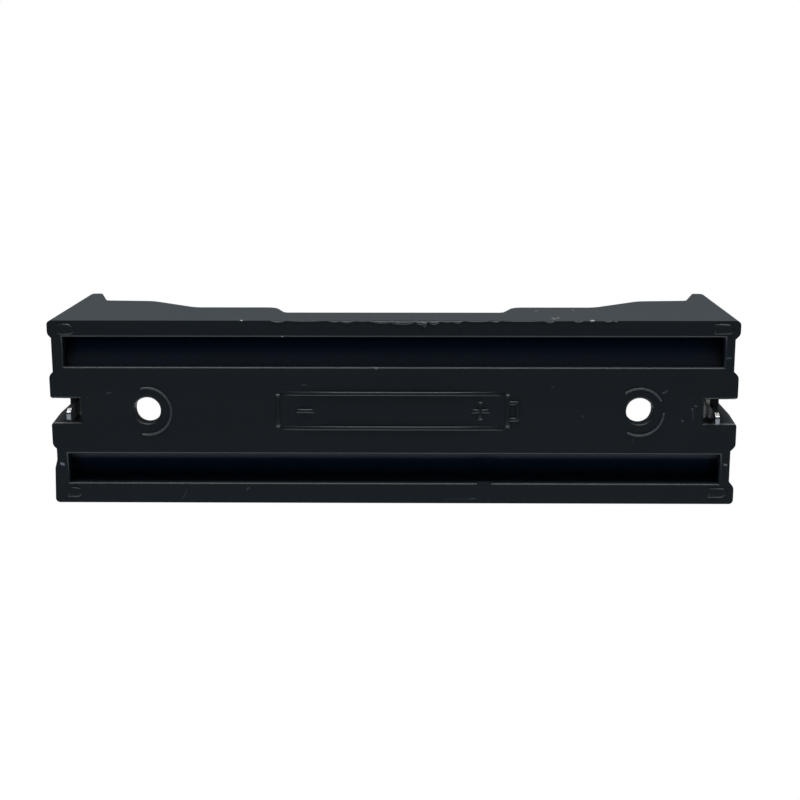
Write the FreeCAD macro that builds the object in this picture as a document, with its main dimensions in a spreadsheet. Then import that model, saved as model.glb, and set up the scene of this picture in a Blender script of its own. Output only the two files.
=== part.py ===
import FreeCAD, Part
import math
import os

import Sketcher
from FreeCAD import Placement, Rotation, Vector

# Holder for one long cylindrical cell, soldered or screwed to a board.
# A moulded body carries two folded spring contacts, one at each end.
# X runs along the cell, Y across it, and Z points up out of the open side.
# The origin is the middle of the underside, where the holder meets the board.

doc = FreeCAD.newDocument("cell_holder")
sheet = doc.addObject("Spreadsheet::Sheet", "dims")


class Size:
    """A size as a number, with the cell formula that gives the same number."""

    def __init__(self, number, formula):
        self.number = float(number)
        self.formula = formula

    def __add__(self, other):
        other = as_size(other)
        return Size(self.number + other.number, "(%s + %s)" % (self.formula, other.formula))

    def __sub__(self, other):
        other = as_size(other)
        return Size(self.number - other.number, "(%s - %s)" % (self.formula, other.formula))

    def __mul__(self, other):
        other = as_size(other)
        return Size(self.number * other.number, "(%s * %s)" % (self.formula, other.formula))

    def __truediv__(self, other):
        other = as_size(other)
        return Size(self.number / other.number, "(%s / %s)" % (self.formula, other.formula))

    def __neg__(self):
        return Size(-self.number, "(-1 * %s)" % self.formula)


def as_size(value):
    return value if isinstance(value, Size) else Size(value, repr(float(value)))


def root(value):
    return Size(math.sqrt(value.number), "sqrt(%s)" % value.formula)


def tangent(degrees):
    return Size(math.tan(math.radians(degrees.number)), "tan(%s)" % degrees.formula)


def cosine(degrees):
    return Size(math.cos(math.radians(degrees.number)), "cos(%s)" % degrees.formula)


def size(name, number, note):
    """Write one driving dimension in the sheet and return it."""
    row = size.row
    size.row = row + 1
    sheet.set("A%d" % row, note)
    sheet.set("B%d" % row, str(number))
    sheet.setAlias("B%d" % row, name)
    return Size(number, "dims." + name)


size.row = 1

# Cell that the holder is made for
cell_diameter = size("cell_diameter", 18.5, "largest cell diameter")
cell_play = size("cell_play", 0.2, "gap round the cell in the trough")

# Moulded body
body_length = size("body_length", 77.6, "length over the end feet at the underside")
body_width = size("body_width", 21.2, "width over the side walls at the underside")
side_shift = size("side_shift", 0.23, "how far both side walls stand towards +Y of the middle")
body_height = size("body_height", 21.2, "height of the end walls")
end_draft = size("end_draft", 1.08, "mould draft of each end, in degrees")
side_draft = size("side_draft", 0.68, "mould draft of each side, in degrees")
corner_radius = size("corner_radius", 0.5, "upright corners")
crest_radius = size("crest_radius", 1.0, "outer edge along the top of each end wall")

# Stepped end faces
foot_width = size("foot_width", 1.8, "full-length corner post across the end face")
block_width = size("block_width", 8.1, "middle block of the end face")
recess_depth = size("recess_depth", 0.55, "panels between the posts and the block, right end")
left_recess = size("left_recess", 0.42, "panels between the posts and the block, left end")
step_place = size("step_place", 5.75, "where the far panel of the left end steps out")
step_run = size("step_run", 1.0, "length of that step")
step_rise = size("step_rise", 0.27, "how far that panel stands out beyond the step")

# Underside channels, which keep the walls even
floor_thickness = size("floor_thickness", 2.0, "floor under the lowest line of the trough")
strip_width = size("strip_width", 10.18, "flat middle strip of the underside")
rail_width = size("rail_width", 2.16, "flat rail along each side, on average")
trough_wall = size("trough_wall", 2.0, "plastic between the trough and a channel")
channel_end = size("channel_end", 1.73, "plastic beyond each end of a channel")

# Rim of the side walls, from the middle to the ends
finger_height = size("finger_height", 6.05, "rim in the finger gap")
finger_gap = size("finger_gap", 24.9, "length of the finger gap at its foot")
finger_slope = size("finger_slope", 1.4, "how far the sides of the finger gap lean")
shelf_height = size("shelf_height", 9.93, "rim beside the finger gap")
wave_low = size("wave_low", 15.4, "from the end face to the foot of the rim's wave")
wave_high = size("wave_high", 9.6, "from the end face to the crest of the rim's wave")
arm_height = size("arm_height", 14.9, "rim at the crest of the wave")
arm_rise = size("arm_rise", 0.45, "how much the rim climbs towards the end wall")
wave_radius = size("wave_radius", 2.6, "rounding of the rim's wave")
finger_radius = size("finger_radius", 1.6, "rounding at the top of the finger gap")
heel_radius = size("heel_radius", 0.8, "rounding where the rim meets the end wall")
rim_radius = size("rim_radius", 0.5, "rounding at the foot of the finger gap")

# End walls and the pockets for the contacts
end_wall = size("end_wall", 3.75, "end wall with its contact pocket, at the underside")
crest_width = size("crest_width", 1.6, "flat top of the end wall")
back_wall = size("back_wall", 2.58, "plastic behind the contact, at the underside")
pocket_floor = size("pocket_floor", 2.5, "height of the seat under the contact plate")
plate_play = size("plate_play", 0.05, "gap on each face of the contact plate")
seat_play = size("seat_play", 0.02, "gap under the contact plate and beside its barbs")
window_play = size("window_play", 0.65, "gap on each side of the contact spring")

# Notch and groove in the middle of each end
notch_height = size("notch_height", 2.9, "height of the opening for the solder tail")
tail_gap = size("tail_gap", 0.3, "floor edge to the inner face of the left tail")
right_tail_gap = size("right_tail_gap", 0.65, "floor edge to the inner face of the right tail")
web_thickness = size("web_thickness", 1.08, "web between the contact pocket and the groove")
mouth_width = size("mouth_width", 2.8, "tail opening and groove at the underside")
mouth_height = size("mouth_height", 4.0, "height over which the groove narrows")
groove_width = size("groove_width", 2.16, "groove in the end block above its mouth")
groove_height = size("groove_height", 16.5, "top end of the groove")

# Screw holes
hole_spacing = size("hole_spacing", 55.7, "between the screw holes")
hole_radius = size("hole_radius", 1.5, "screw hole")
hole_land = size("hole_land", 1.8, "straight wall of the screw hole")
sink_radius = size("sink_radius", 2.4, "countersink at its mouth")

# Rounded mould edges
edge_radius = size("edge_radius", 0.25, "rounding along the outer edge of the rim")

# Folded contacts
metal = size("metal", 0.45, "sheet thickness")
tail_width = size("tail_width", 1.5, "solder tail")
tail_length = size("tail_length", 3.6, "solder tail below the underside")
tail_taper = size("tail_taper", 0.35, "bevel at the tip of the tail")
negative_tail_shift = size("negative_tail_shift", 0.25, "sideways place of the left tail")
positive_tail_shift = size("positive_tail_shift", 0.15, "sideways place of the right tail")
plate_top = size("plate_top", 16.4, "height where the sheet folds over")
plate_width = size("plate_width", 9.7, "plate in its pocket")
barb_depth = size("barb_depth", 0.12, "barb on each edge of the plate")
barb_height = size("barb_height", 0.9, "length of a barb")
barb_low = size("barb_low", 6.0, "lower barb")
barb_high = size("barb_high", 11.0, "upper barb")
shoulder_drop = size("shoulder_drop", 1.2, "slope of the plate's upper corners")
fold_width = size("fold_width", 1.6, "between the middle lines of the plate and the leaf")
fold_radius = size("fold_radius", 0.7, "bends of the fold at the middle line")
fold_drop = size("fold_drop", 1.2, "straight stretch of the leaf under the fold")
leaf_width = size("leaf_width", 6.4, "spring leaf")
leaf_slope = size("leaf_slope", 29, "slope of the leaf to its crown and back, in degrees")
leaf_end = size("leaf_end", 5.1, "height of the free end of the leaf")
crown_radius = size("crown_radius", 4.5, "bow of the leaf at the cell")
heel_bend = size("heel_bend", 2.0, "bend where the leaf leaves the fold")
curl_radius = size("curl_radius", 1.2, "curl at the free end of the leaf")
curl_height = size("curl_height", 1.5, "upright length of the free end")
dimple_radius = size("dimple_radius", 1.5, "contact dimple across its foot")
dimple_height = size("dimple_height", 0.45, "contact dimple above the leaf")

# Room that a cutting shape needs outside the plastic
overshoot = size("overshoot", 1.0, "how far a cut runs past a face")

doc.recompute()

half_length = body_length / 2
half_width = body_width / 2
trough_radius = cell_diameter / 2 + cell_play
axis_height = floor_thickness + trough_radius
bay_half = half_length - end_wall
pocket_outer = half_length - back_wall
pocket_inner = pocket_outer - metal - plate_play * 2
plate_inner = pocket_inner + plate_play
plate_bottom = pocket_floor + seat_play
notch_half = (mouth_width - (mouth_width - groove_width) / mouth_height * notch_height) / 2
lip_half = plate_width / 2 + barb_depth + seat_play
window_half = leaf_width / 2 + window_play
leaf_start = plate_inner + metal / 2 - fold_width
leaf_bend = plate_top - fold_drop
leaf_crown = leaf_start - (leaf_bend - axis_height) * tangent(leaf_slope)
crown_setback = crown_radius / cosine(leaf_slope) - crown_radius
leaf_front = leaf_crown + crown_setback - metal / 2


def origin_plane(body, role):
    """Return the body's own origin plane of that role."""
    for feature in body.Origin.OriginFeatures:
        if feature.Role == role:
            return feature
    raise RuntimeError("no plane " + role)


def new_sketch(body, name, role, offset=None):
    """Make a sketch on one of the body's origin planes, moved out along its normal."""
    sketch = body.newObject("Sketcher::SketchObject", name)
    sketch.AttachmentSupport = [(origin_plane(body, role), "")]
    sketch.MapMode = "FlatFace"
    if offset is not None:
        sketch.AttachmentOffset = Placement(Vector(0, 0, offset.number), Rotation())
        sketch.setExpression("AttachmentOffset.Base.z", offset.formula)
    return sketch


def bind(sketch, constraint, amount):
    """Add a sized constraint and tie it to its cells."""
    index = sketch.addConstraint(constraint)
    sketch.setExpression("Constraints[%d]" % index, amount.formula)


def pin_point(sketch, piece, end, x, y):
    """Fix one point of the sketch at (x, y)."""
    bind(sketch, Sketcher.Constraint("DistanceX", piece, end, x.number), x)
    bind(sketch, Sketcher.Constraint("DistanceY", piece, end, y.number), y)


def corner_cut(before, corner, after, radius):
    """Return where a rounding of that radius leaves and meets its two lines, and its centre."""
    towards_before = (before - corner).normalize()
    towards_after = (after - corner).normalize()
    half_angle = towards_before.getAngle(towards_after) / 2
    run = radius / math.tan(half_angle)
    middle = (towards_before + towards_after).normalize()
    centre = corner + middle * (radius / math.sin(half_angle))
    return corner + towards_before * run, corner + towards_after * run, centre


def add_arc(sketch, start, end, centre, radius):
    """Add the short arc between two points and say whether it runs from start to end."""
    angle_start = math.atan2(start.y - centre.y, start.x - centre.x)
    angle_end = math.atan2(end.y - centre.y, end.x - centre.x)
    forward = (angle_end - angle_start) % (2 * math.pi) < math.pi
    first, last = (angle_start, angle_end) if forward else (angle_end, angle_start)
    circle = Part.Circle(centre, Vector(0, 0, 1), radius)
    piece = sketch.addGeometry(Part.ArcOfCircle(circle, first, last), False)
    return piece, forward


def draw(sketch, corners, closed=True):
    """Draw straight lines between corners (x, y) or rounded ones (x, y, radius)."""
    corners = [tuple(as_size(value) for value in corner) for corner in corners]
    count = len(corners)
    spots = [Vector(corner[0].number, corner[1].number, 0) for corner in corners]
    leave, meet, centres = list(spots), list(spots), [None] * count
    for index, corner in enumerate(corners):
        if len(corner) == 3:
            cut = corner_cut(spots[index - 1], spots[index], spots[(index + 1) % count], corner[2].number)
            meet[index], leave[index], centres[index] = cut
    line_count = count if closed else count - 1
    lines = []
    for index in range(line_count):
        line = Part.LineSegment(leave[index], meet[(index + 1) % count])
        lines.append(sketch.addGeometry(line, False))
    for index, corner in enumerate(corners):
        at_start = not closed and index == 0
        at_end = not closed and index == count - 1
        line_in = None if at_start else lines[index - 1]
        line_out = None if at_end else lines[index]
        if len(corner) == 2:
            if line_in is None or line_out is None:
                piece, end = (line_out, 1) if line_in is None else (line_in, 2)
            else:
                sketch.addConstraint(Sketcher.Constraint("Coincident", line_in, 2, line_out, 1))
                piece, end = line_out, 1
            pin_point(sketch, piece, end, corner[0], corner[1])
            continue
        point = sketch.addGeometry(Part.Point(spots[index]), True)
        pin_point(sketch, point, 1, corner[0], corner[1])
        sketch.addConstraint(Sketcher.Constraint("PointOnObject", point, 1, line_in))
        sketch.addConstraint(Sketcher.Constraint("PointOnObject", point, 1, line_out))
        arc, forward = add_arc(sketch, meet[index], leave[index], centres[index], corner[2].number)
        sketch.addConstraint(Sketcher.Constraint("Tangent", line_in, 2, arc, 1 if forward else 2))
        sketch.addConstraint(Sketcher.Constraint("Tangent", line_out, 1, arc, 2 if forward else 1))
        bind(sketch, Sketcher.Constraint("Radius", arc, corner[2].number), corner[2])


def draw_capped(sketch, points, centre, radius):
    """Draw lines through the points, closed from the last to the first by an arc."""
    points = [tuple(as_size(value) for value in point) for point in points]
    spots = [Vector(x.number, y.number, 0) for x, y in points]
    lines = []
    for start, end in zip(spots, spots[1:]):
        lines.append(sketch.addGeometry(Part.LineSegment(start, end), False))
    for before, after in zip(lines, lines[1:]):
        sketch.addConstraint(Sketcher.Constraint("Coincident", before, 2, after, 1))
    for line, (x, y) in zip(lines, points):
        pin_point(sketch, line, 1, x, y)
    pin_point(sketch, lines[-1], 2, points[-1][0], points[-1][1])
    middle = Vector(as_size(centre[0]).number, as_size(centre[1]).number, 0)
    arc, forward = add_arc(sketch, spots[-1], spots[0], middle, radius.number)
    sketch.addConstraint(Sketcher.Constraint("Coincident", lines[-1], 2, arc, 1 if forward else 2))
    sketch.addConstraint(Sketcher.Constraint("Coincident", lines[0], 1, arc, 2 if forward else 1))
    bind(sketch, Sketcher.Constraint("Radius", arc, radius.number), radius)


def mirrored(corners):
    """The same corners on the other side of the sketch's upright axis."""
    return [(-as_size(corner[0]),) + tuple(corner[1:]) for corner in reversed(corners)]


def rectangle(x_low, x_high, y_low, y_high):
    return [(x_low, y_low), (x_high, y_low), (x_high, y_high), (x_low, y_high)]


def cut(body, name, sketch, length, side="One side", upwards=False):
    """Remove the sketch's outline over a length and make sure that material went."""
    before = body.Shape.Volume
    pocket = body.newObject("PartDesign::Pocket", name)
    pocket.Profile = sketch
    pocket.Type = "Length"
    pocket.SideType = side
    pocket.Reversed = upwards
    pocket.setExpression("Length", length.formula)
    doc.recompute()
    if not body.Shape.Volume < before:
        raise RuntimeError(name + " cut nothing")
    return pocket


def round_edges(body, name, radius, wanted):
    """Round the edges of the body that the test picks."""
    base = body.Tip
    names = []
    for index, edge in enumerate(base.Shape.Edges):
        if wanted(edge):
            names.append("Edge%d" % (index + 1))
    if not names:
        raise RuntimeError(name + " found no edge")
    fillet = body.newObject("PartDesign::Fillet", name)
    fillet.Base = (base, names)
    fillet.setExpression("Radius", radius.formula)
    doc.recompute()
    return fillet


def turn_profile(body, kind, name, sketch, edge):
    """Turn a profile once round one of its own edges."""
    turned = body.newObject("PartDesign::" + kind, name)
    turned.Profile = sketch
    turned.ReferenceAxis = (sketch, [edge])
    turned.Angle = 360
    before = body.Shape.Volume
    doc.recompute()
    if body.Shape.Volume == before:
        raise RuntimeError(name + " changed nothing")
    return turned


def end_outline(recess, far_panel):
    """Outline of one end: near post, recessed panel, middle block and the far panel's points."""
    panel = half_length - recess
    post_edge = half_width - foot_width
    block_edge = block_width / 2
    near = [
        (half_length, side_shift - half_width),
        (half_length, -post_edge),
        (panel, -post_edge + recess),
        (panel, -block_edge - recess),
        (half_length, -block_edge),
        (half_length, block_edge),
        (panel, block_edge + recess),
    ]
    return near + far_panel + [(half_length, half_width + side_shift)]


def plan_outline():
    """Outline of the underside, where the left end's far panel steps out towards its corner."""
    post_edge = half_width - foot_width
    post = [(half_length - recess_depth, post_edge - recess_depth), (half_length, post_edge)]
    left_panel = half_length - left_recess
    step = [(left_panel, step_place), (left_panel + step_rise, step_place + step_run)]
    return end_outline(recess_depth, post) + mirrored(end_outline(left_recess, step))


def make_block(body):
    """The full block, raised from the underside."""
    outline = new_sketch(body, "underside_plan", "XY_Plane")
    draw(outline, plan_outline())
    block = body.newObject("PartDesign::Pad", "block")
    block.Profile = outline
    block.Type = "Length"
    block.setExpression("Length", body_height.formula)
    doc.recompute()


def lean_faces(body, name, angle, wanted):
    """Give upright faces their mould draft, hinged at the underside."""
    base = body.Tip
    names = []
    for index, face in enumerate(base.Shape.Faces):
        normal = face.normalAt(0, 0)
        if abs(normal.z) < abs(normal.x) + abs(normal.y) and wanted(normal):
            names.append("Face%d" % (index + 1))
    before = body.Shape.Volume
    draft = body.newObject("PartDesign::Draft", name)
    draft.Base = (base, names)
    draft.NeutralPlane = (origin_plane(body, "XY_Plane"), [""])
    draft.setExpression("Angle", angle.formula)
    doc.recompute()
    if body.Shape.Volume > before:
        draft.Reversed = True
        doc.recompute()


def is_side(normal):
    return abs(normal.y) > abs(normal.x) * 2


def is_end(normal):
    return not is_side(normal)


def middle_of(edge):
    return edge.valueAt((edge.FirstParameter + edge.LastParameter) / 2)


def is_tall(edge):
    return edge.BoundBox.ZLength > body_height.number / 2


def upright_corner(edge):
    """True for the four outer corners, which run up the block."""
    return is_tall(edge) and abs(middle_of(edge).y) > (half_width - foot_width / 2).number


def on_outer_rim(edge):
    """True for the outer edges of the rim between the end walls."""
    middle = middle_of(edge)
    side = half_width.number - middle.z * tangent(side_draft).number
    on_side = abs(abs(middle.y - side_shift.number) - side) < edge_radius.number / 10
    along = edge.BoundBox.YLength < edge_radius.number
    rim_top = (arm_height + arm_rise + heel_radius / 2).number
    between = finger_height.number / 2 < middle.z < rim_top
    return on_side and along and between and not is_tall(edge)


def cut_rim(body):
    """Side view of the rim: finger gap, shelf, wave, arm and the lead-in of the end wall."""
    sky = body_height + overshoot
    lead_top = half_length - body_height * tangent(end_draft) - crest_width
    right = [
        (finger_gap / 2, finger_height, rim_radius),
        (finger_gap / 2 + finger_slope, shelf_height, finger_radius),
        (half_length - wave_low, shelf_height, wave_radius),
        (half_length - wave_high, arm_height, wave_radius),
        (bay_half, arm_height + arm_rise, heel_radius),
        (lead_top, body_height),
        (lead_top, sky),
    ]
    sketch = new_sketch(body, "rim_outline", "XZ_Plane")
    draw(sketch, right + mirrored(right))
    cut(body, "rim", sketch, body_width + overshoot * 2, "Symmetric")


def round_crests(body):
    """Rounded outer edge along the top of each end wall."""
    out = half_length + overshoot
    sky = body_height + overshoot
    level = body_height - crest_radius
    face = half_length - level * tangent(end_draft)
    flat = face - crest_radius
    sketch = new_sketch(body, "crest_outline", "XZ_Plane")
    for side in (1, -1):
        points = [
            (flat * side, body_height),
            (flat * side, sky),
            (out * side, sky),
            (out * side, level),
            (face * side, level),
        ]
        draw_capped(sketch, points, (flat * side, level), crest_radius)
    cut(body, "crests", sketch, body_width + overshoot * 2, "Symmetric")


def cut_trough(body):
    """Round trough for the cell, which closes over it a little under the arms."""
    sketch = new_sketch(body, "trough_section", "YZ_Plane")
    circle = Part.Circle(Vector(0, axis_height.number, 0), Vector(0, 0, 1), trough_radius.number)
    piece = sketch.addGeometry(circle, False)
    sketch.addConstraint(Sketcher.Constraint("PointOnObject", piece, 3, -2))
    bind(sketch, Sketcher.Constraint("DistanceY", piece, 3, axis_height.number), axis_height)
    bind(sketch, Sketcher.Constraint("Radius", piece, trough_radius.number), trough_radius)
    cut(body, "trough", sketch, bay_half * 2, "Symmetric")


def cut_channels(body):
    """Two channels in the underside, whose roofs follow the trough."""
    inner = strip_width / 2
    outer = half_width - rail_width
    roof = trough_radius + trough_wall
    inner_top = axis_height - root(roof * roof - inner * inner)
    outer_top = axis_height - root(roof * roof - outer * outer)
    sketch = new_sketch(body, "channel_section", "YZ_Plane")
    for side in (1, -1):
        points = [
            (inner * side, inner_top),
            (inner * side, -overshoot),
            (outer * side, -overshoot),
            (outer * side, outer_top),
        ]
        draw_capped(sketch, points, (0, axis_height), roof)
    cut(body, "channels", sketch, (half_length - channel_end) * 2, "Symmetric")


def cut_pockets(body):
    """Upright slot for each contact plate, with a window for its spring."""
    right = [
        (bay_half - overshoot, -window_half),
        (pocket_inner, -window_half),
        (pocket_inner, -lip_half),
        (pocket_outer, -lip_half),
        (pocket_outer, lip_half),
        (pocket_inner, lip_half),
        (pocket_inner, window_half),
        (bay_half - overshoot, window_half),
    ]
    sketch = new_sketch(body, "pocket_plan", "XY_Plane", pocket_floor)
    draw(sketch, right)
    draw(sketch, mirrored(right))
    cut(body, "pockets", sketch, body_height, upwards=True)


def cut_taper(body, name, low_plan, low_level, high_plan, high_level):
    """Remove the room between two outlines at different heights."""
    low = new_sketch(body, name + "_low", "XY_Plane", low_level)
    draw(low, low_plan)
    high = new_sketch(body, name + "_high", "XY_Plane", high_level)
    draw(high, high_plan)
    taper = body.newObject("PartDesign::SubtractiveLoft", name)
    taper.Profile = low
    taper.Sections = [high]
    taper.Ruled = True
    before = body.Shape.Volume
    doc.recompute()
    if not body.Shape.Volume < before:
        raise RuntimeError(name + " cut nothing")
    return taper


def cut_notch(body, name, inner, outer):
    """Opening for the solder tail, a little narrower at its top."""
    low_half = mouth_width / 2
    low = rectangle(inner, outer, -low_half, low_half)
    high = rectangle(inner, outer, -notch_half, notch_half)
    return cut_taper(body, name, low, None, high, notch_height)


def cut_end_openings(body):
    """Opening for the solder tail that runs into a narrowing groove up the end block."""
    web_outer = pocket_outer + web_thickness
    out = half_length + overshoot
    groove_half = groove_width / 2
    notch = cut_notch(body, "tail_notch", plate_inner - tail_gap, out)
    mouth_low = rectangle(web_outer, out, -notch_half, notch_half)
    groove_plan = rectangle(web_outer, out, -groove_half, groove_half)
    mouth = cut_taper(body, "groove_mouth", mouth_low, notch_height, groove_plan, mouth_height)
    upper = new_sketch(body, "groove_plan", "XY_Plane", mouth_height)
    draw(upper, groove_plan)
    groove = cut(body, "groove", upper, groove_height - mouth_height, upwards=True)
    return [notch, mouth, groove]


def cut_screw_hole(body):
    """Screw hole, countersunk from the trough."""
    place = hole_spacing / 2
    sink_depth = sink_radius - hole_radius
    sketch = new_sketch(body, "hole_section", "XZ_Plane")
    sky = hole_land + sink_depth
    corners = [
        (place, -overshoot),
        (place + hole_radius, -overshoot),
        (place + hole_radius, hole_land),
        (place + sink_radius, sky),
        (place + sink_radius, sky + overshoot),
        (place, sky + overshoot),
    ]
    draw(sketch, corners)
    return turn_profile(body, "Groove", "screw_hole", sketch, "Edge6")


def mirror_ends(body, features):
    """Repeat features at the other end."""
    mirror = body.newObject("PartDesign::Mirrored", "other_end")
    mirror.Originals = features
    mirror.MirrorPlane = (origin_plane(body, "YZ_Plane"), [""])
    body.Tip = mirror
    doc.recompute()


def make_holder():
    body = doc.addObject("PartDesign::Body", "holder_body")
    body.Label = "holder_body"
    make_block(body)
    lean_faces(body, "side_lean", side_draft, is_side)
    lean_faces(body, "end_lean", end_draft, is_end)
    round_edges(body, "upright_corners", corner_radius, upright_corner)
    cut_rim(body)
    round_crests(body)
    round_edges(body, "rim_edges", edge_radius, on_outer_rim)
    cut_trough(body)
    cut_channels(body)
    cut_pockets(body)
    features = cut_end_openings(body)
    features.append(cut_screw_hole(body))
    mirror_ends(body, features)
    cut_notch(body, "right_notch_relief", plate_inner - right_tail_gap, plate_inner)
    return body


def barb(edge, level, side):
    """Corners of one barb on the plate's edge, which points up against pulling out."""
    low = (edge * side, level)
    tip = ((edge + barb_depth) * side, level + barb_height)
    back = (edge * side, level + barb_height)
    return [low, tip, back] if side > 0 else [back, tip, low]


def plate_outline(shift):
    """Front view of the plate and its solder tail, seen along the cell."""
    edge = plate_width / 2
    tail_left = shift - tail_width / 2
    tail_right = shift + tail_width / 2
    tip = -tail_length
    outline = [
        (tail_left + tail_taper, tip),
        (tail_right - tail_taper, tip),
        (tail_right, tip + tail_taper * 2),
        (tail_right, plate_bottom),
        (edge, plate_bottom),
    ]
    outline += barb(edge, barb_low, 1)
    outline += barb(edge, barb_high, 1)
    outline += [
        (edge, plate_top - shoulder_drop),
        (leaf_width / 2, plate_top),
        (-leaf_width / 2, plate_top),
        (-edge, plate_top - shoulder_drop),
    ]
    outline += barb(edge, barb_high, -1)
    outline += barb(edge, barb_low, -1)
    outline += [
        (-edge, plate_bottom),
        (tail_left, plate_bottom),
        (tail_left, tip + tail_taper * 2),
    ]
    return outline


def make_plate(body, shift):
    sketch = new_sketch(body, body.Name + "_plate_outline", "YZ_Plane", plate_inner)
    draw(sketch, plate_outline(shift))
    plate = body.newObject("PartDesign::Pad", body.Name + "_plate")
    plate.Profile = sketch
    plate.Type = "Length"
    plate.setExpression("Length", metal.formula)
    doc.recompute()


def leaf_route():
    """Side view of the sheet's middle line: fold, crown against the cell, curled free end."""
    start = plate_inner + metal / 2
    fold_top = plate_top + fold_width / 2
    curl = leaf_end + curl_height
    return [
        (start, plate_top),
        (start, fold_top, fold_radius),
        (leaf_start, fold_top, fold_radius),
        (leaf_start, leaf_bend, heel_bend),
        (leaf_crown, axis_height, crown_radius),
        (leaf_crown + (axis_height - curl) * tangent(leaf_slope), curl, curl_radius),
        (leaf_crown + (axis_height - curl) * tangent(leaf_slope), leaf_end),
    ]


def make_leaf(body):
    """The spring leaf, swept along the sheet's middle line."""
    route = new_sketch(body, body.Name + "_leaf_route", "XZ_Plane")
    draw(route, leaf_route(), closed=False)
    section = new_sketch(body, body.Name + "_leaf_section", "XY_Plane", plate_top)
    half = leaf_width / 2
    draw(section, rectangle(plate_inner, plate_inner + metal, -half, half))
    leaf = body.newObject("PartDesign::AdditivePipe", body.Name + "_leaf")
    leaf.Profile = section
    leaf.Spine = (route, [])
    leaf.Transition = "Transformed"
    doc.recompute()


def make_dimple(body):
    """Pressed dimple on the crown of the leaf, hollow at its back."""
    bow = crown_radius + metal / 2
    sag = bow - root(bow * bow - dimple_radius * dimple_radius)
    rise = dimple_height + sag
    ball = (dimple_radius * dimple_radius + rise * rise) / (rise * 2)
    tip = leaf_front - dimple_height
    back = leaf_front + metal
    ball_centre = (tip + ball, axis_height)
    dome = new_sketch(body, body.Name + "_dome_section", "XZ_Plane")
    points = [
        (leaf_front + sag, axis_height + dimple_radius),
        (back, axis_height + dimple_radius),
        (back, axis_height),
        (tip, axis_height),
    ]
    draw_capped(dome, points, ball_centre, ball)
    turn_profile(body, "Revolution", body.Name + "_dimple", dome, "Edge3")
    hollow_radius = ball - metal
    depth = hollow_radius - dimple_height
    mouth = root(hollow_radius * hollow_radius - depth * depth)
    hollow = new_sketch(body, body.Name + "_hollow_section", "XZ_Plane")
    points = [
        (back, axis_height + mouth),
        (back + metal, axis_height + mouth),
        (back + metal, axis_height),
        (tip + metal, axis_height),
    ]
    draw_capped(hollow, points, ball_centre, hollow_radius)
    turn_profile(body, "Groove", body.Name + "_dimple_back", hollow, "Edge3")


def make_contact(name, shift, turn):
    """One folded contact, drawn at the right end and turned to its own end."""
    body = doc.addObject("PartDesign::Body", name)
    body.Label = name
    make_plate(body, shift)
    make_leaf(body)
    make_dimple(body)
    body.Placement = Placement(Vector(0, 0, 0), Rotation(Vector(0, 0, 1), turn))
    return body


parts = [
    make_holder(),
    make_contact("negative_contact", negative_tail_shift, 180),
    make_contact("positive_contact", positive_tail_shift, 0),
]
doc.recompute()

os.makedirs("parts", exist_ok=True)
for item in doc.Objects:
    if "Invalid" in item.State or "Error" in item.State:
        raise RuntimeError("failed: " + item.Name)
for part in parts:
    if part.Shape.isNull() or not part.Shape.isValid():
        raise RuntimeError("bad shape: " + part.Label)
for part in parts:
    part.Shape.exportStep(os.path.join("parts", part.Label + ".step"))
    print(part.Label, round(part.Shape.Volume, 1), part.Shape.BoundBox, len(part.Shape.Solids))
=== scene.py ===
"""Holder for one long cylindrical cell: moulded plastic finish, plated contacts and mould marks."""

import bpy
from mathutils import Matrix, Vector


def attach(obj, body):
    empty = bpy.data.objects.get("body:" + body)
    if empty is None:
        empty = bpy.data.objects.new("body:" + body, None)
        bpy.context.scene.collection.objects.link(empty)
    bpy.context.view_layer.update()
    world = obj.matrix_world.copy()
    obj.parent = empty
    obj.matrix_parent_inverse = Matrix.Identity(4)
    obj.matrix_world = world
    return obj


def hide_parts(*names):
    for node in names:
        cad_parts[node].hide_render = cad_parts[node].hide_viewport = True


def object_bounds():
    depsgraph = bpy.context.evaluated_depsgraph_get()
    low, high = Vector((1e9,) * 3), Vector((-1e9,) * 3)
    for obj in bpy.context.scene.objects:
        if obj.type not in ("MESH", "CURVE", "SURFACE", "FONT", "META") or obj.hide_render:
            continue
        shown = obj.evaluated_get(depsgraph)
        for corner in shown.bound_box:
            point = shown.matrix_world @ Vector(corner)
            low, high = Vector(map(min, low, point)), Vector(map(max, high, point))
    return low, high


bl_info = {
    "name": "Cylindrical Battery Holder",
    "version": (1, 0, 0),
    "blender": (4, 5, 0),
    "location": "View3D > Sidebar > Holder",
    "description": "Dresses a moulded battery holder and its folded contacts",
    "category": "Object",
}

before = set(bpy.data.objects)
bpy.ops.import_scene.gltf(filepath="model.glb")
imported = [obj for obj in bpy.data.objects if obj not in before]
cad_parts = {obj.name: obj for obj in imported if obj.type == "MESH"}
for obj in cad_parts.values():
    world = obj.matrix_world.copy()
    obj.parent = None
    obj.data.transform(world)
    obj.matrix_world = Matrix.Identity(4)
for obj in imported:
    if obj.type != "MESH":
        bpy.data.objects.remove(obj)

import math
import random

import bmesh
import bpy
from bpy.props import FloatProperty, FloatVectorProperty, IntProperty, PointerProperty
from mathutils import Matrix, Vector

LOADED_BOX = [list(corner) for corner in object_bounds()]
MM = 0.001
ROOT = "root"
DOWN = (0, 0, -1)

# Places on the solids that marks and finishes follow
HOLE_X = 27.85 * MM
RING_Y = 0.09 * MM
TROUGH_AXIS = 11.45 * MM
TROUGH_RADIUS = 9.45 * MM
PARTING_X = 37.6 * MM
PARTING_Y = 9.5 * MM

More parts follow.
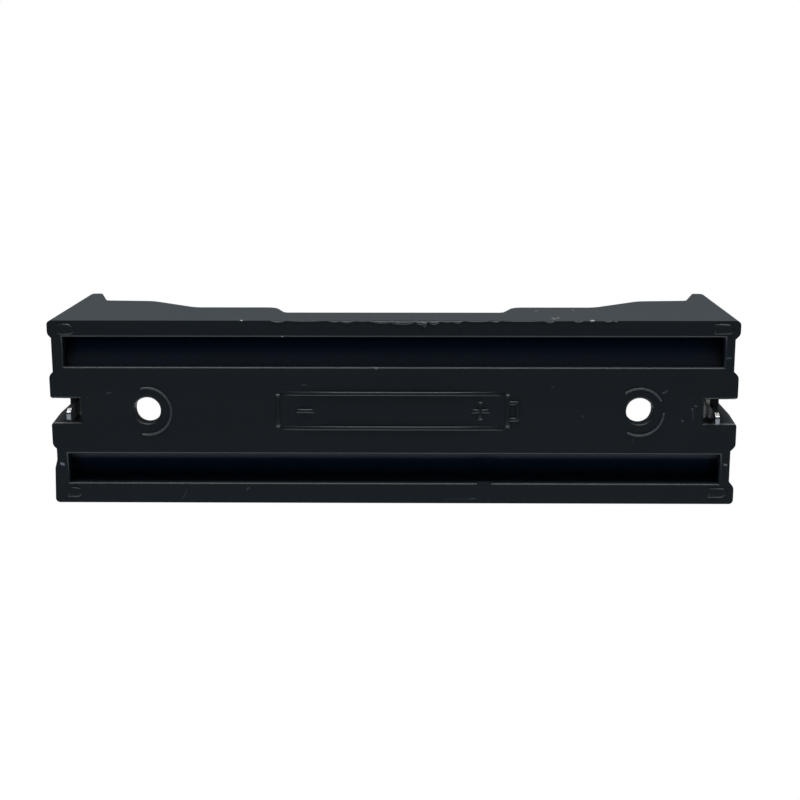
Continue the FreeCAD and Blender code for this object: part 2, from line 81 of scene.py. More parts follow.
# Where the painted, brighter and bluer colour that lifts the dark shade deep in the channels ends, as two
# distances that it fades between
CHANNEL_INNER = (5.1 * MM, 4.9 * MM)
CHANNEL_OUTER = (8.3 * MM, 8.6 * MM)
CHANNEL_ROOF = (10.8 * MM, 10.4 * MM)
CHANNEL_END = (36.2 * MM, 36.4 * MM)
CHANNEL_MOUTH = (0.9 * MM, 0.3 * MM)
CHANNEL_TOP = (4.5 * MM, 5.0 * MM)

# How far an added form reaches into the face that it stands on
SINK = 0.01 * MM


def length(name, description, default):
    """A settings length in metres."""
    return FloatProperty(name=name, description=description, default=default, unit="LENGTH", precision=5)


def colour(name, description, default):
    """A settings colour."""
    return FloatVectorProperty(
        name=name, description=description, default=default, subtype="COLOR", size=3, min=0, max=1
    )


class HolderMouldSettings(bpy.types.PropertyGroup):
    """Finish of the moulded body."""

    edge_rounding: length("Edge rounding", "Rounding of the moulded edges", 0.28 * MM)
    plastic: colour("Plastic", "Colour of the plastic", (0.0034, 0.0078, 0.0118))
    # Painted light: brighter and bluer than the plastic, this colour lifts the dark shade deep in the
    # channels
    channel: colour("Channel", "Colour of the plastic deep in the channels", (0.004, 0.015, 0.028))
    # Also the colour of the painted highlight on the witness rings
    stress_and_highlight: colour("Stress mark", "Colour of scuffed and stretched plastic", (0.3, 0.32, 0.335))
    roughness: FloatProperty(
        name="Roughness", description="Roughness of the moulded face", default=0.44, min=0, max=1
    )


class HolderContactSettings(bpy.types.PropertyGroup):
    """Finish of the folded contacts."""

    plating: colour("Plating", "Colour of the nickel plating", (0.8, 0.795, 0.785))
    roughness: FloatProperty(
        name="Roughness", description="Roughness of the plating", default=0.14, min=0, max=1
    )


class HolderMarkSettings(bpy.types.PropertyGroup):
    """Ridges and signs that the mould leaves."""

    ring_radius: length("Ring radius", "Witness ring round each screw hole", 2.72 * MM)
    ridge_width: length("Ridge width", "Width of a witness ridge", 0.26 * MM)
    ridge_height: length("Ridge height", "How far a witness ridge stands out", 0.12 * MM)
    pad_height: length("Pad height", "How far an ejector pad stands out", 0.16 * MM)
    sign_stroke: length("Sign stroke", "Width of a raised stroke of the signs", 0.5 * MM)
    sign_height: length("Sign height", "How far the signs stand out", 0.2 * MM)
    seed: IntProperty(name="Seed", description="Start of the random draws of the flash", default=7, min=0)


class HolderStudioSettings(bpy.types.PropertyGroup):
    """Floor, lamps and camera."""

    floor_drop: length("Floor drop", "Height of the floor under the holder", 0.3)
    softbox_power: FloatProperty(
        name="Softbox", description="Power of the large lamp beside the holder", default=0.9, unit="POWER"
    )
    fill_power: FloatProperty(
        name="Fill", description="Power of the lamp above the holder", default=1.2, unit="POWER"
    )
    focal: FloatProperty(
        name="Focal length", description="Focal length of the camera", default=68.735, unit="CAMERA"
    )


class Wire:
    """A node's output that Python expressions add Math nodes to."""

    def __init__(self, tree, socket):
        self.tree = tree
        self.socket = socket

    def math(self, operation, *values, clamp=False):
        """Add a Math node that takes wires and numbers."""
        node = self.tree.nodes.new("ShaderNodeMath")
        node.operation = operation
        node.use_clamp = clamp
        for slot, value in zip(node.inputs, values):
            if isinstance(value, Wire):
                self.tree.links.new(value.socket, slot)
            else:
                slot.default_value = value
        return Wire(self.tree, node.outputs[0])

    def __add__(self, other):
        return self.math("ADD", self, other)

    def __radd__(self, other):
        return self.math("ADD", other, self)

    def __sub__(self, other):
        return self.math("SUBTRACT", self, other)

    def __rsub__(self, other):
        return self.math("SUBTRACT", other, self)

    def __mul__(self, other):
        return self.math("MULTIPLY", self, other)

    def root(self):
        return self.math("SQRT", self)

    def size(self):
        return self.math("ABSOLUTE", self)

    def least(self, other):
        return self.math("MINIMUM", self, other)

    def most(self, other):
        return self.math("MAXIMUM", self, other)

    def unit(self):
        """The value kept between 0 and 1."""
        return self.math("ADD", self, 0.0, clamp=True)

    def fade(self, start, end):
        """1 at start falling smoothly to 0 at end, or the other way round."""
        node = self.tree.nodes.new("ShaderNodeMapRange")
        node.interpolation_type = "SMOOTHSTEP"
        low, high = min(start, end), max(start, end)
        node.inputs["From Min"].default_value = low
        node.inputs["From Max"].default_value = high
        node.inputs["To Min"].default_value = 1.0 if start < end else 0.0
        node.inputs["To Max"].default_value = 0.0 if start < end else 1.0
        self.tree.links.new(self.socket, node.inputs["Value"])
        return Wire(self.tree, node.outputs["Result"])


class Nodes:
    """A node tree, emptied, whose nodes are added one by one."""

    def __init__(self, owner):
        owner.use_nodes = True
        self.tree = owner.node_tree
        self.tree.nodes.clear()

    def feed(self, socket, value):
        """Link a wire to a socket, or set the socket's own value."""
        if isinstance(value, Wire):
            self.tree.links.new(value.socket, socket)
        else:
            socket.default_value = value

    def node(self, kind, settings, inputs):
        """Add a node, set its settings and then the values or links of its sockets."""
        node = self.tree.nodes.new(kind)
        for name, value in settings.items():
            setattr(node, name, value)
        for name, value in inputs.items():
            self.feed(node.inputs[name], value)
        return node

    def wire(self, kind, settings, inputs, output=0):
        """Add a node and give one of its outputs."""
        return Wire(self.tree, self.node(kind, settings, inputs).outputs[output])

    def mix(self, amount, first, second):
        """A colour between two colours."""
        shades = [shade if isinstance(shade, Wire) else (*shade, 1.0) for shade in (first, second)]
        node = self.node("ShaderNodeMix", {"data_type": "RGBA"}, {"Factor": amount})
        colours = [socket for socket in node.inputs if socket.type == "RGBA"]
        for socket, shade in zip(colours, shades):
            self.feed(socket, shade)
        return Wire(self.tree, next(socket for socket in node.outputs if socket.type == "RGBA"))

    def ray(self, kind):
        """1 for rays of a kind, such as Is Camera Ray."""
        return self.wire("ShaderNodeLightPath", {}, {}, kind)


class Finish(Nodes):
    """A material with one surface shader."""

    def __init__(self, name):
        self.material = bpy.data.materials.new(name)
        super().__init__(self.material)
        self.shader = self.node("ShaderNodeBsdfPrincipled", {}, {})
        surface = Wire(self.tree, self.shader.outputs[0])
        self.node("ShaderNodeOutputMaterial", {}, {"Surface": surface})
        self.place = self.wire("ShaderNodeTexCoord", {}, {}, "Object")
        self.x, self.y, self.z = (
            self.wire("ShaderNodeSeparateXYZ", {}, {"Vector": self.place}, axis) for axis in "XYZ"
        )

    def noise(self, scale, detail, place=None):
        """Noise about 0.5, with its scale in features per metre."""
        inputs = {"Vector": place or self.place, "Scale": scale, "Detail": detail}
        return self.wire("ShaderNodeTexNoise", {}, inputs)

    def stretched(self, factors):
        """The object's coordinates multiplied along each axis."""
        inputs = {0: self.place, 1: factors}
        return self.wire("ShaderNodeVectorMath", {"operation": "MULTIPLY"}, inputs)

    def set(self, **values):
        """Set or link sockets of the surface shader."""
        for name, value in values.items():
            self.feed(self.shader.inputs[name.replace("_", " ")], value)

    def relief(self, height, distance, strength):
        """Turn a height into the surface normal."""
        inputs = {"Strength": strength, "Distance": distance, "Height": height}
        self.set(Normal=self.wire("ShaderNodeBump", {}, inputs))

    def stroke(self, start, end, half_width):
        """1 on a straight mark on the underside between two points, in millimetres."""
        start, end = Vector(start) * MM, Vector(end) * MM
        run = end - start
        way = run.normalized()
        across, along = self.x - start.x, self.y - start.y
        reach = (across * way.x + along * way.y).most(0.0).least(run.length)
        off_x, off_y = across - reach * way.x, along - reach * way.y
        distance = (off_x * off_x + off_y * off_y).root()
        core = 0.35
        return distance.fade(half_width * MM * core, half_width * MM)


# Marks on the underside, in millimetres: start, end and half width, and then the strength
SCUFFS = (
    ((-32.39, -2.0), (-31.92, -2.12), 0.1, 0.16),
    ((-10.2, -3.05), (-9.75, -2.99), 0.12, 0.1),
    ((-24.19, 10.3), (-23.88, 9.87), 0.1, 0.1),
    ((-23.88, 9.87), (-23.62, 9.3), 0.1, 0.08),
    ((-16.72, 9.24), (-16.5, 9.04), 0.13, 0.18),
    ((5.95, 10.32), (9.5, 10.32), 0.07, 0.06),
    ((8.7, 10.3), (9.38, 10.22), 0.09, 0.16),
    ((30.35, -2.12), (30.63, -2.22), 0.14, 0.2),
    ((30.63, -2.22), (30.88, -2.45), 0.12, 0.14),
    ((33.74, -0.25), (33.78, -0.32), 0.13, 0.3),
    ((34.05, -0.66), (34.2, -0.62), 0.13, 0.28),
    ((33.8, -0.09), (33.88, 0.87), 0.12, 0.08),
    ((32.68, 1.06), (32.7, 1.1), 0.16, 0.3),
    ((21.4, 0.54), (21.44, 0.6), 0.16, 0.12),
    ((17.9, -2.84), (17.98, -2.8), 0.12, 0.16),
    ((27.14, 3.2), (27.3, 3.6), 0.14, 0.06),
    ((-2.28, -5.9), (-2.0, -4.95), 0.1, 0.12),
    ((-1.87, -4.92), (-1.83, -4.88), 0.13, 0.5),
    ((-37.93, 6.23), (-37.7, 6.33), 0.2, 0.8),
    ((37.62, 6.16), (37.88, 6.22), 0.15, 0.6),
    ((37.4, -6.12), (37.8, -6.2), 0.14, 0.2),
)


def make_plastic():
    """Black moulded plastic: satin, a little uneven, with dust specks and light scuff marks, a painted lift
    of the dark shade deep in the channels and a painted highlight on the witness rings.
    """
    settings = bpy.context.scene.holder_mould
    finish = Finish("black_moulded_plastic")
    cloud = finish.noise(55, 3.0)
    streak = finish.noise(220, 2.0, finish.stretched((0.12, 1.0, 1.0)))
    grain = finish.noise(7000, 2.0)
    shade = (cloud * 0.55 + streak * 0.45).fade(0.62, 0.36)
    base = tuple(settings.plastic)
    warm = (base[0] * 1.28, base[1] * 1.2, base[2] * 1.12)
    # Painted light: the channel colour and its mask lift the dark shade deep in the channels
    deep = tuple(settings.channel)
    across, over = finish.y.size(), finish.z - TROUGH_AXIS
    from_axis = (across * across + over * over).root()
    channel_lift_mask = across.fade(*CHANNEL_INNER) * across.fade(*CHANNEL_OUTER)
    channel_lift_mask *= from_axis.fade(*CHANNEL_ROOF) * finish.x.size().fade(*CHANNEL_END)
    channel_lift_mask *= finish.z.fade(*CHANNEL_MOUTH) * finish.z.fade(*CHANNEL_TOP)
    cells = finish.node("ShaderNodeTexVoronoi", {"feature": "F1"}, {"Vector": finish.place, "Scale": 520.0})
    distance, cell_colour = (Wire(finish.tree, cells.outputs[name]) for name in ("Distance", "Color"))
    luck = finish.wire("ShaderNodeSeparateColor", {}, {"Color": cell_colour})
    specks = distance.fade(0.02, 0.04) * luck.fade(0.99, 0.98)
    underside = finish.z.fade(0.3 * MM, 0.5 * MM)
    scuffs_and_ring_highlight = None
    for start, end, half_width, strength in SCUFFS:
        mark = finish.stroke(start, end, half_width) * strength
        scuffs_and_ring_highlight = mark if scuffs_and_ring_highlight is None else scuffs_and_ring_highlight.most(mark)
    # Painted highlight: the witness ring ridges are paled towards the stress colour so that they shine
    # brighter
    from_hole = finish.x.size() - HOLE_X
    ring_radius = bpy.context.scene.holder_mark.ring_radius
    from_ring = ((from_hole * from_hole + finish.y * finish.y).root() - ring_radius).size()
    ring = from_ring.fade(0.1 * MM, 0.2 * MM) * finish.z.fade(-0.03 * MM, 0)
    scuffs_and_ring_highlight = scuffs_and_ring_highlight.most(ring * 0.16)
    broken = finish.noise(9000, 1.0).fade(0.38, 0.5)
    # Scuffs, dust specks and the painted highlight on the witness rings
    marks = (scuffs_and_ring_highlight * underside * (1 - broken * 0.4)).most(specks * 0.2).unit()
    # Mix in the painted lift of the shade deep in the channels
    unmarked = finish.mix(channel_lift_mask, finish.mix(shade, warm, base), deep)
    finish.set(
        Base_Color=finish.mix(marks, unmarked, tuple(settings.stress_and_highlight)),
        Roughness=(settings.roughness - 0.05 + cloud * 0.06 + grain * 0.05 + marks * 0.15).unit(),
        IOR=1.5,
    )
    finish.relief(grain * 0.35 + streak * 0.4 + cloud * 0.5, 0.012 * MM, 0.5)
    return finish.material


def make_plating():
    """Nickel plating on rolled strip: fine lines, dull patches, tin on the tips, and a painted dark band
    across each tip.
    """
    settings = bpy.context.scene.holder_contact
    finish = Finish("nickel_plating")
    lines = finish.noise(9000, 2.0, finish.stretched((1.0, 1.0, 0.06)))
    patches = finish.noise(700, 3.0)
    pits = finish.noise(14000, 1.0).fade(0.3, 0.22)
    dull = patches.fade(0.72, 0.5)
    base = tuple(settings.plating)
    worn = tuple(channel * 0.72 for channel in base)
    # Painted reflection: a dark band across each tail tip, placed along Y for each contact, stands in for
    # the dark reflection between the tip's two highlights
    right_dark_band, left_dark_band = -0.15 * MM, -0.55 * MM
    at_left = finish.x.fade(-1 * MM, MM)
    from_dark_band = (finish.y - right_dark_band + at_left * (right_dark_band - left_dark_band)).size()
    painted_dark_band = from_dark_band.fade(0.08 * MM, 0.17 * MM) * finish.z.fade(-3.5 * MM, -3.3 * MM)
    dark_band_colour = (0.08, 0.08, 0.08)
    tinned = finish.z.fade(-3.58 * MM, -3.45 * MM)
    finish.set(
        Base_Color=finish.mix(painted_dark_band * 0.8, finish.mix(dull * 0.3, base, worn), dark_band_colour),
        Metallic=1 - tinned * 0.4,
        Roughness=(settings.roughness + dull * 0.06 + lines * 0.08 - 0.04 + tinned * 0.15).unit(),
    )
    finish.relief(lines * 0.6 - pits * 0.4, 0.002 * MM, 0.3)
    return finish.material


def make_strained(name, pale):
    """Thin torn plastic, paler than the body from the strain."""
    finish = Finish(name)
    tear = finish.noise(2500, 2.0).fade(0.35, 0.6)
    finish.set(
        Base_Color=finish.mix(tear * 0.6, pale, tuple(channel * 0.35 for channel in pale)),
        Roughness=(0.45 + tear * 0.15).unit(),
    )
    finish.relief(tear, 0.02 * MM, 0.4)
    return finish.material


def shared_material(name, maker):
    """The material of that name, made at its first use."""
    return bpy.data.materials.get(name) or maker()


def plastic():
    """The plastic of the body."""
    return shared_material("black_moulded_plastic", make_plastic)


def plating():
    """The plating of the contacts."""
    return shared_material("nickel_plating", make_plating)


def strained(name, share):
    """Plastic as pale as a share of the stress marks."""
    pale = tuple(channel * share for channel in bpy.context.scene.holder_mould.stress_and_highlight)
    return shared_material(name, lambda: make_strained(name, pale))


def add_piece(name, form, material):
    """Turn a bmesh into a piece of the holder, kept inside the box of the solids."""
    for vertex in form.verts:
        for axis, (low, high) in enumerate(zip(*LOADED_BOX)):
            vertex.co[axis] = min(max(vertex.co[axis], low), high)
    mesh = bpy.data.meshes.new(name)
    form.to_mesh(mesh)
    form.free()
    mesh.materials.append(material)
    for polygon in mesh.polygons:
        polygon.use_smooth = True
    piece = bpy.data.objects.new(name, mesh)
    bpy.context.scene.collection.objects.link(piece)
    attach(piece, ROOT)
    return piece


def even_normals(piece):
    """Keep flat faces flat where they meet small roundings."""
    modifier = piece.modifiers.new("even_normals", "WEIGHTED_NORMAL")
    modifier.mode = "FACE_AREA"
    modifier.keep_sharp = True


def on_parting_line(edge):
    """True for the outer edges of the underside, where the mould halves meet and leave a sharp edge."""
    first, last = (vertex.co for vertex in edge.verts)
    middle = (first + last) / 2
    outside = abs(middle.x) > PARTING_X or abs(middle.y) > PARTING_Y
    underside = 0.01 * MM
    return outside and max(first.z, last.z) < underside


def rounded_copy(node, rounding, sharp_degrees):
    """The node's form with its outward corners rounded, apart from the parting line."""
    form = bmesh.new()
    form.from_mesh(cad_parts[node].data)
    same_place, flat = 0.002 * MM, math.radians(0.4)
    bmesh.ops.remove_doubles(form, verts=form.verts, dist=same_place)
    bmesh.ops.dissolve_limit(form, angle_limit=flat, verts=form.verts, edges=form.edges)
    turn = math.radians(sharp_degrees)
    corners = [
        edge
        for edge in form.edges
        if edge.is_convex and edge.calc_face_angle() > turn and not on_parting_line(edge)
    ]
    bmesh.ops.bevel(
        form,
        geom=corners,
        offset=rounding,
        offset_type="OFFSET",
        segments=3,
        profile=0.5,
        affect="EDGES",
        clamp_overlap=False,
    )
    smooth_turn = turn * 1.4
    for edge in form.edges:
        edge.smooth = edge.calc_face_angle() < smooth_turn
    return form


class HOLDER_OT_moulded_body(bpy.types.Operator):
    """Dress the moulded body with rounded edges and its plastic"""

    bl_idname = "holder.moulded_body"
    bl_label = "Moulded Body"

    def execute(self, context):
        settings = context.scene.holder_mould
        form = rounded_copy("holder_body", settings.edge_rounding, sharp_degrees=24)
        piece = add_piece("moulded_body", form, plastic())
        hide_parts("holder_body")
        even_normals(piece)
        return {"FINISHED"}


class HOLDER_OT_spring_contacts(bpy.types.Operator):
    """Give both folded contacts their plating"""

    bl_idname = "holder.spring_contacts"
    bl_label = "Spring Contacts"

    def execute(self, context):
        for node in ("negative_contact", "positive_contact"):
            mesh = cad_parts[node].data
            mesh.materials.clear()
            mesh.materials.append(plating())
        return {"FINISHED"}


def skin(form, rows):
    """Join closed rows of corners, one after the other, and close both ends."""
    for row, next_row in zip(rows, rows[1:]):
        for index, corner in enumerate(row):
            after = (index + 1) % len(row)
            form.faces.new((corner, row[after], next_row[after], next_row[index]))
    form.faces.new(list(reversed(rows[0])))
    form.faces.new(rows[-1])


def add_marks(name, form, material):
    """Turn an added form into a piece of plastic whose faces all look outwards."""
    bmesh.ops.recalc_face_normals(form, faces=form.faces)
    add_piece(name, form, material)


def ridge(form, points, width, height, lift):
    """Add a low rounded ridge along points, standing out of a face along lift."""
    lift = Vector(lift)
    profile = []
    steps = 6
    for step in range(steps + 1):
        angle = math.pi * step / steps
        profile.append((-math.cos(angle) * width / 2, math.sin(angle) * height))
    rows = []
    last, end_share = len(points) - 1, 0.02
    for index, point in enumerate(points):
        before, after = points[max(index - 1, 0)], points[min(index + 1, last)]
        side = (after - before).normalized().cross(lift)
        share = min(1.0, min(index, last - index) / 2 + end_share)
        places = [point + side * across + lift * (up * share - SINK) for across, up in profile]
        rows.append([form.verts.new(place) for place in places])
    skin(form, rows)


def arc_points(centre, radius, start, end, count):
    """Points on an arc on the underside, with angles in degrees from +X towards +Y."""
    points = []
    for step in range(count + 1):
        angle = math.radians(start + (end - start) * step / count)
        points.append(Vector(centre) + Vector((math.cos(angle), math.sin(angle), 0)) * radius)
    return points


# Arcs of the witness rings: place of the hole, and where each starts and ends, in degrees
RING_ARCS = (
    (-HOLE_X, -106, 106),
    (HOLE_X, -128, -28),
    (HOLE_X, 2, 120),
)

# Ejector pads in millimetres: both ends along X, both along Y, and the radii of the two right corners
EJECTOR_PADS = (
    (-37.6, -35.78, -10.0, -8.75, 0.75, 0.45),
    (-37.33, -35.76, 9.05, 10.22, 0.5, 0.5),
    (35.86, 37.98, -10.02, -8.84, 0.72, 0.4),
    (35.9, 37.98, 8.97, 10.1, 0.4, 0.65),
)


def pad_outline(left, right, near, far, near_radius, far_radius, inset):
    """Corners of a pad whose right corners are round, drawn in by inset."""
    left, right, near, far = left + inset, right - inset, near + inset, far - inset
    near_radius, far_radius = near_radius - inset, far_radius - inset
    points = [(left, far), (left, near)]
    steps = 8
    for radius, level, start in ((near_radius, near + near_radius, -90), (far_radius, far - far_radius, 0)):
        for step in range(steps + 1):
            way = math.radians(start + 90 * step / steps)
            points.append((right - radius + math.cos(way) * radius, level + math.sin(way) * radius))
    return points


def pad(form, box, height):
    """Add a low pad with a rounded edge to the underside."""
    steps = 5
    rows = []
    for step in range(steps + 1):
        angle = math.pi / 2 * step / steps
        outline = pad_outline(*box, height * 2 * (1 - math.cos(angle)))
        level = SINK - math.sin(angle) * height
        rows.append([form.verts.new((x, y, level)) for x, y in outline])
    skin(form, rows)


# Two corners of the block that makes the far edge of the low channel sharp, in millimetres
SHARP_EDGE = ((9.56, 8.3, -0.01), (11.24, 8.75, 0.31))


class HOLDER_OT_ejector_marks(bpy.types.Operator):
    """Add the witness rings round the holes, the ejector pads and the sharp place of one edge"""

    bl_idname = "holder.ejector_marks"
    bl_label = "Ejector Marks"

    def execute(self, context):
        settings = context.scene.holder_mark
        form = bmesh.new()
        for centre_x, start, end in RING_ARCS:
            points = arc_points((centre_x, RING_Y, 0), settings.ring_radius, start, end, count=72)
            ridge(form, points, settings.ridge_width, settings.ridge_height, DOWN)
        for box in EJECTOR_PADS:
            pad(form, [amount * MM for amount in box], settings.pad_height)
        low, high = (Vector(corner) * MM for corner in SHARP_EDGE)
        for vertex in bmesh.ops.create_cube(form, size=1.0)["verts"]:
            vertex.co = (low + high) / 2 + vertex.co * (high - low)
            for edge in vertex.link_edges:
                edge.smooth = False
        add_marks("ejector_marks", form, plastic())
        return {"FINISHED"}


class HOLDER_OT_underside_sign(bpy.types.Operator):
    """Add a raised picture of a cell with its two pole signs to the underside"""

    bl_idname = "holder.underside_sign"
    bl_label = "Underside Sign"

    def execute(self, context):
        settings = context.scene.holder_mark
        form = bmesh.new()
        steps = 8

        def line(*corners):
            """A ridge from corner to corner, in millimetres."""
            points = []
            for start, end in zip(corners, corners[1:]):
                first, last = Vector((*start, 0)) * MM, Vector((*end, 0)) * MM
                points.extend(first.lerp(last, step / steps) for step in range(steps))
            points.append(Vector((*corners[-1], 0)) * MM)
            ridge(form, points, settings.sign_stroke, settings.sign_height, DOWN)

        end, side = 13.0, 2.0
        line((-end, side), (end, side))
        line((-end, -side), (end, -side))
        line((-end, -side), (-end, side))
        line((end, -side), (end, side))
        nub_end, nub_side = end + 1.1, 0.95
        line((end, -nub_side), (nub_end, -nub_side), (nub_end, nub_side), (end, nub_side))
        pole, half_sign = 9.9, 1.1
        line((-pole - half_sign, 0), (-pole + half_sign, 0))
        line((pole - half_sign, 0), (pole + half_sign, 0))
        line((pole, -half_sign), (pole, half_sign))
        add_marks("underside_sign", form, plastic())
        return {"FINISHED"}


class HOLDER_OT_trough_signs(bpy.types.Operator):
    """Add the raised pole signs to the floor of the trough"""

    bl_idname = "holder.trough_signs"
    bl_label = "Trough Signs"

    def execute(self, context):
        settings = context.scene.holder_mark
        width, height = settings.sign_stroke * 1.3, settings.sign_height * 0.75
        form = bmesh.new()
        steps = 12

        def line(start, end):
            """A ridge on the trough's wall, in millimetres along X and round the wall."""
            points = []
            for step in range(steps + 1):
                x, way_round = Vector(start).lerp(Vector(end), step / steps) * MM
                angle = way_round / TROUGH_RADIUS
                level = TROUGH_AXIS - math.cos(angle) * TROUGH_RADIUS
                points.append(Vector((x, math.sin(angle) * TROUGH_RADIUS, level)))
            ridge(form, points, width, height, (0, 0, 1))

        pole, half_sign = 22.0, 1.4
        line((pole - half_sign, 0), (pole + half_sign, 0))
        line((pole, -half_sign), (pole, half_sign))
        line((-pole - half_sign, 0), (-pole + half_sign, 0))
        add_marks("trough_signs", form, plastic())
        return {"FINISHED"}


# Flash along the near edge in millimetres: start, end and width of each scallop
SCALLOPS = (
    (-13.6, -12.0, 0.22),
    (-12.0, -7.2, 0.09),
    (-7.2, -5.8, 0.2),
    (-6.0, -4.2, 0.27),
    (-4.2, -2.6, 0.12),
    (-2.7, 0.4, 0.3),
    (-0.6, 2.9, 0.44),
    (2.5, 3.7, 0.46),
    (3.2, 3.95, 0.74),
    (3.9, 5.4, 0.46),
    (5.2, 7.0, 0.2),
    (6.6, 7.9, 0.3),
    (7.8, 11.2, 0.13),
    (11.0, 12.0, 0.2),
    (12.0, 17.2, 0.1),
    (17.0, 18.1, 0.26),
    (20.2, 21.3, 0.2),
    (21.9, 22.6, 0.16),
    (23.5, 24.5, 0.16),
    (24.7, 25.1, 0.18),
)

# Crumbs of flash in millimetres: place, half sizes, and whether it is torn white
CRUMBS = (
    ((-16.9, -10.35, 0.2), (0.22, 0.05, 0.24), True),
    ((18.1, -10.34, 1.5), (0.3, 0.05, 0.75), False),
    ((18.6, -10.33, 2.05), (0.26, 0.05, 0.6), False),
    ((22.3, -10.35, 0.3), (0.26, 0.05, 0.35), True),
    ((16.5, -10.28, 7.0), (0.2, 0.05, 0.3), False),
    ((20.8, -10.27, 7.7), (0.24, 0.05, 0.35), False),
    ((-12.33, -8.57, 0.0), (0.14, 0.06, 0.06), True),
    ((-8.35, 8.6, 0.0), (0.07, 0.1, 0.06), False),
)


def add_flash(form, draw):
    """Add the scalloped film of plastic along the near edge."""
    edge, thinnest, step = -10.36, 0.02, 0.08
    crest, lip = 0.05, 0.04
    start, stop = SCALLOPS[0][0], SCALLOPS[-1][1]
    rows = []
    for index in range(round((stop - start) / step) + 1):
        x = start + index * step
        width = thinnest
        for first, last, size in SCALLOPS:
            if first < x < last:
                swell = math.sin(math.pi * (x - first) / (last - first)) ** 0.8
                width = max(width, size * swell * draw.uniform(0.96, 1.04))
        profile = (
            (edge, 0.3),
            (edge, 0.06),
            (edge + width * 0.5, -crest - width * 0.2),
            (edge + width, -lip - width * 0.12),
            (edge + width, 0.2),
        )
        rows.append([form.verts.new(Vector((x, y, z)) * MM) for y, z in profile])
    skin(form, rows)


def add_crumb(form, place, half_sizes, draw):
    """Add one bumpy crumb."""
    for vertex in bmesh.ops.create_icosphere(form, subdivisions=3, radius=1.0)["verts"]:
        vertex.co = (place + vertex.co * half_sizes * draw.uniform(0.82, 1.1)) * MM


class HOLDER_OT_parting_flash(bpy.types.Operator):
    """Add the scalloped flash and its crumbs along the near edge of the underside"""

    bl_idname = "holder.parting_flash"
    bl_label = "Parting Flash"

    def execute(self, context):
        draw = random.Random(context.scene.holder_mark.seed)
        form, torn = bmesh.new(), bmesh.new()
        add_flash(form, draw)
        for place, half_sizes, white in CRUMBS:
            add_crumb(torn if white else form, Vector(place), Vector(half_sizes), draw)
        add_marks("parting_flash", form, strained("thin_flash", share=0.13))
        add_marks("torn_crumbs", torn, strained("torn_white", share=0.8))
        return {"FINISHED"}


LAMP_TARGET = Vector((0, 0, 0.005))

# Lamps: name, place and size in metres, the power setting and how many times it, and tint
LAMPS = (
    ("side_softbox", (0, -0.5, 0.05), (0.7, 0.45), "softbox_power", 9.5, (0.97, 0.955, 0.935)),
    ("far_softbox", (0, 0.17, -0.05), (0.5, 0.1), "softbox_power", 0.42, (0.88, 0.95, 1.0)),
    ("top_fill", (0, 0.5, 0.45), (0.5, 0.5), "fill_power", 4, (0.95, 0.95, 0.95)),
)


def add_lamp(name, place, size, power, tint):
    """A rectangular soft lamp that points at the middle of the holder."""
    data = bpy.data.lights.new(name, "AREA")
    data.shape = "RECTANGLE"
    data.size, data.size_y = size
    data.energy = power
    data.color = tint
    lamp = bpy.data.objects.new(name, data)
    lamp.location = place
    lamp.rotation_euler = (LAMP_TARGET - Vector(place)).to_track_quat("-Z", "Y").to_euler()
    bpy.context.scene.collection.objects.link(lamp)


def make_world(seen, horizon, zenith, cast, tint):
    """Plain surroundings: seen by the camera, mirrored in gloss at two heights, and the light they cast."""
    world = bpy.data.worlds.new("plain_surroundings")
    nodes = Nodes(world)
    camera_ray = nodes.ray("Is Camera Ray")
    glossy_ray = nodes.ray("Is Glossy Ray").most(nodes.ray("Is Transmission Ray"))
    direction = nodes.wire("ShaderNodeTexCoord", {}, {}, "Generated")
    up = nodes.wire("ShaderNodeSeparateXYZ", {}, {"Vector": direction}, "Z")
    low_down = up.size().fade(0.3, 0.9)
    mirrored = low_down * (horizon - zenith) + zenith
    level = camera_ray * (seen - cast) + (1 - camera_ray) * glossy_ray * (mirrored - cast) + cast
    inputs = {"Color": nodes.mix(camera_ray, tint, (1, 1, 1)), "Strength": level}
    background = nodes.wire("ShaderNodeBackground", {}, inputs)
    nodes.node("ShaderNodeOutputWorld", {}, {"Surface": background})
    bpy.context.scene.world = world


def make_floor(height, seen, mirrored, cast):
    """A pale floor far under the holder, with the darker shades that gloss and soft light take from it."""
    reach = 3.0
    outline = ((-reach, -reach), (reach, -reach), (reach, reach), (-reach, reach))
    mesh = bpy.data.meshes.new("floor")
    mesh.from_pydata([(x, y, height) for x, y in outline], [], [(0, 1, 2, 3)])
    floor = bpy.data.objects.new("floor", mesh)
    finish = Finish("pale_floor")
    unseen = finish.mix(finish.ray("Is Glossy Ray"), cast, mirrored)
    mottle = finish.noise(6, 2.0) * 0.02
    finish.set(
        Base_Color=finish.mix(finish.ray("Is Camera Ray"), unseen, seen),
        Roughness=(0.9 - mottle).unit(),
        Specular_IOR_Level=0.0,
    )
    mesh.materials.append(finish.material)
    bpy.context.scene.collection.objects.link(floor)


def make_camera(focal):
    """The photograph's viewpoint: under the holder, a little to the side of the near wall."""
    data = bpy.data.cameras.new("viewpoint")
    data.lens = focal
    data.sensor_width = 36.0
    data.clip_start = 0.01
    data.clip_end = 10.0
    camera = bpy.data.objects.new("viewpoint", data)
    tilt, swing, roll = (math.radians(angle) for angle in (-12.95, 1.01, -0.10))
    turn = Matrix.Rotation(roll, 3, "Z") @ Matrix.Rotation(swing, 3, "Y") @ Matrix.Rotation(tilt, 3, "X")
    offset = Vector((-0.82, -1.266, 172.684)) * MM
    flip = Matrix(((1, 0, 0), (0, -1, 0), (0, 0, 1)))
    right, up, ahead = turn @ flip
    place = Matrix((right, up, -ahead)).transposed().to_4x4()
    place.translation = -(flip @ (turn.transposed() @ offset))
    camera.matrix_world = place
    bpy.context.scene.collection.objects.link(camera)
    bpy.context.scene.camera = camera


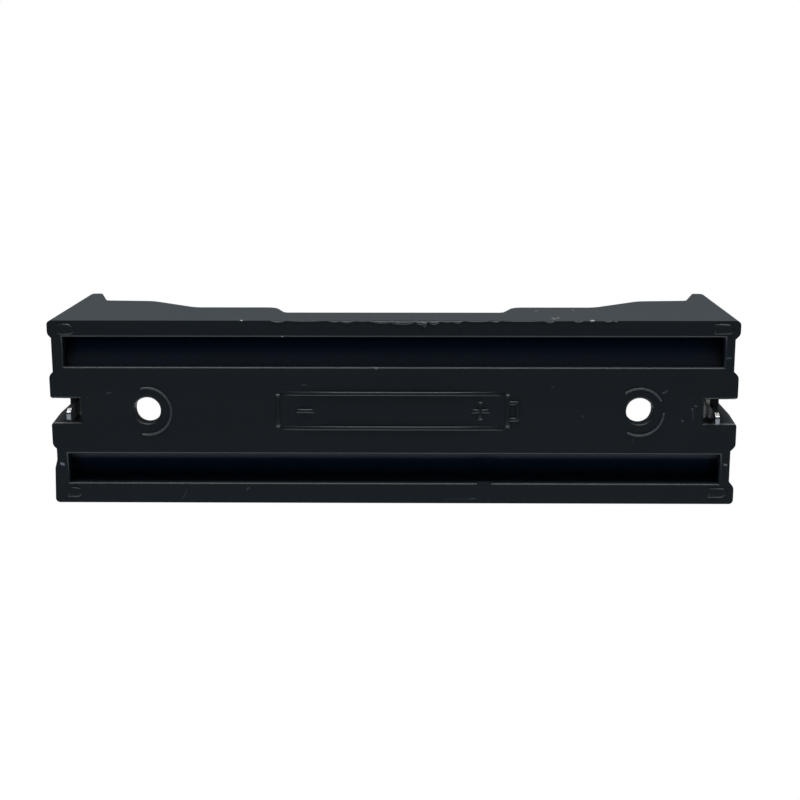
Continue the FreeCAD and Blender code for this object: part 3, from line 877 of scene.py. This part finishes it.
class HOLDER_OT_studio(bpy.types.Operator):
    """Set up the floor, the surroundings, the lamps and the camera"""

    bl_idname = "holder.studio"
    bl_label = "Studio"

    def execute(self, context):
        settings = context.scene.holder_studio
        pale, dim, bluish = (0.86, 0.86, 0.855), (0.065, 0.065, 0.065), (0.1, 0.14, 0.2)
        make_floor(-settings.floor_drop, seen=pale, mirrored=dim, cast=bluish)
        make_world(seen=1.0, horizon=0.22, zenith=0.1, cast=0.66, tint=(0.86, 0.95, 1.0))
        for name, place, size, power, times, tint in LAMPS:
            add_lamp(name, place, size, getattr(settings, power) * times, tint)
        make_camera(settings.focal)
        context.scene.view_settings.view_transform = "Standard"
        return {"FINISHED"}


class HOLDER_PT_panel(bpy.types.Panel):
    """Pieces of the battery holder"""

    bl_idname = "HOLDER_PT_panel"
    bl_label = "Battery Holder"
    bl_space_type = "VIEW_3D"
    bl_region_type = "UI"
    bl_category = "Holder"

    def draw(self, context):
        layout = self.layout
        for operator in OPERATORS:
            layout.operator(operator.bl_idname)
        for name, group in GROUPS.items():
            box = layout.box()
            settings = getattr(context.scene, name)
            for field in group.__annotations__:
                box.prop(settings, field)


GROUPS = {
    "holder_mould": HolderMouldSettings,
    "holder_contact": HolderContactSettings,
    "holder_mark": HolderMarkSettings,
    "holder_studio": HolderStudioSettings,
}
OPERATORS = (
    HOLDER_OT_moulded_body,
    HOLDER_OT_spring_contacts,
    HOLDER_OT_ejector_marks,
    HOLDER_OT_underside_sign,
    HOLDER_OT_trough_signs,
    HOLDER_OT_parting_flash,
    HOLDER_OT_studio,
)
CLASSES = (*GROUPS.values(), *OPERATORS, HOLDER_PT_panel)


def register():
    for item in CLASSES:
        bpy.utils.register_class(item)
    for name, group in GROUPS.items():
        setattr(bpy.types.Scene, name, PointerProperty(type=group))


def unregister():
    for name in GROUPS:
        delattr(bpy.types.Scene, name)
    for item in reversed(CLASSES):
        bpy.utils.unregister_class(item)


def main():
    register()
    bpy.ops.holder.moulded_body()
    bpy.ops.holder.spring_contacts()
    bpy.ops.holder.ejector_marks()
    bpy.ops.holder.underside_sign()
    bpy.ops.holder.trough_signs()
    bpy.ops.holder.parting_flash()
    bpy.ops.holder.studio()


if __name__ == "__main__":
    main()
